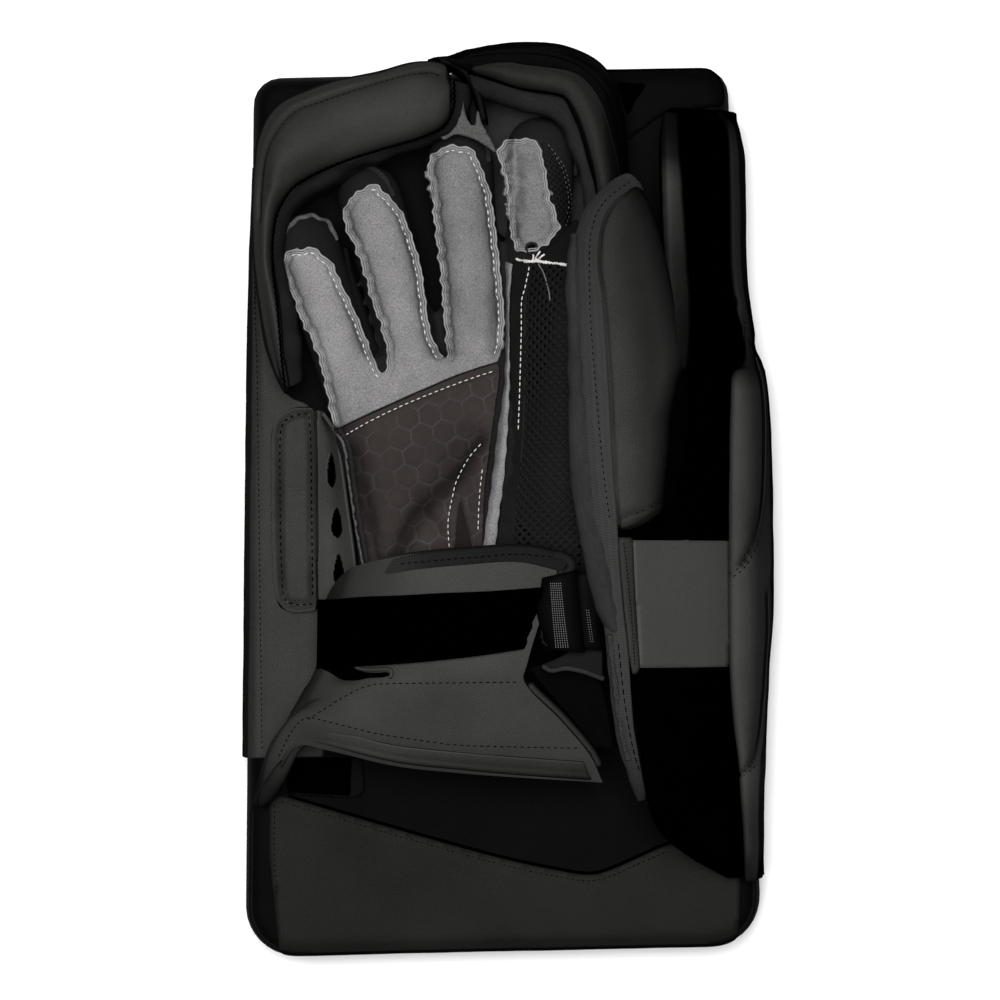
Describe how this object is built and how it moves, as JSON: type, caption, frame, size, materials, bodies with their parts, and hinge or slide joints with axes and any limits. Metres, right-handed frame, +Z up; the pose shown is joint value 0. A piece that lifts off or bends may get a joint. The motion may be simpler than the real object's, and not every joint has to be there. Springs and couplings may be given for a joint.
{
  "type": "hockey goalie blocker",
  "caption": "Black leather ice hockey goalie blocker for the right hand: padded board, guards, glove with grey suede palm, cuff, strap and side board.",
  "frame": {"origin": "centre of the footprint, on the plane of the board's front face that the blocker lies on", "axes": "+Z up out of the palm, +Y towards the fingertips, +X towards the thumb"},
  "size_m": [0.232, 0.39, 0.105],
  "materials": {
    "leather": "satin, fine grain",
    "black_leather": "matt",
    "suede": "napped",
    "palm_patch": "embossed with hexagons",
    "web_mesh": "open mesh",
    "knit": "matt knit",
    "webbing": "woven",
    "buckle": "moulded"
  },
  "bodies": {
    "root": {"main_board": "black_leather", "lower_panel": "leather", "edge_wrap": "leather", "side_tab": "leather", "side_band": "leather", "finger_guard": "leather", "index_guard": "leather", "palm_shell": "knit", "little_finger": "knit", "ring_finger": "knit", "middle_finger": "knit", "index_finger": "knit", "palm_suede": "suede", "index_suede": "suede", "palm_patch": "palm_patch", "palm_welt": "suede", "thumb_web": "web_mesh", "wrist_cuff": "leather", "wrist_strap": "webbing", "strap_buckle": "buckle", "buckle_webbing": "webbing", "side_board": "black_leather", "side_patch": "leather", "thumb_guard": "leather", "thumb_lining": "knit", "inner_label": "black_leather"}
  },
  "joints": []
}
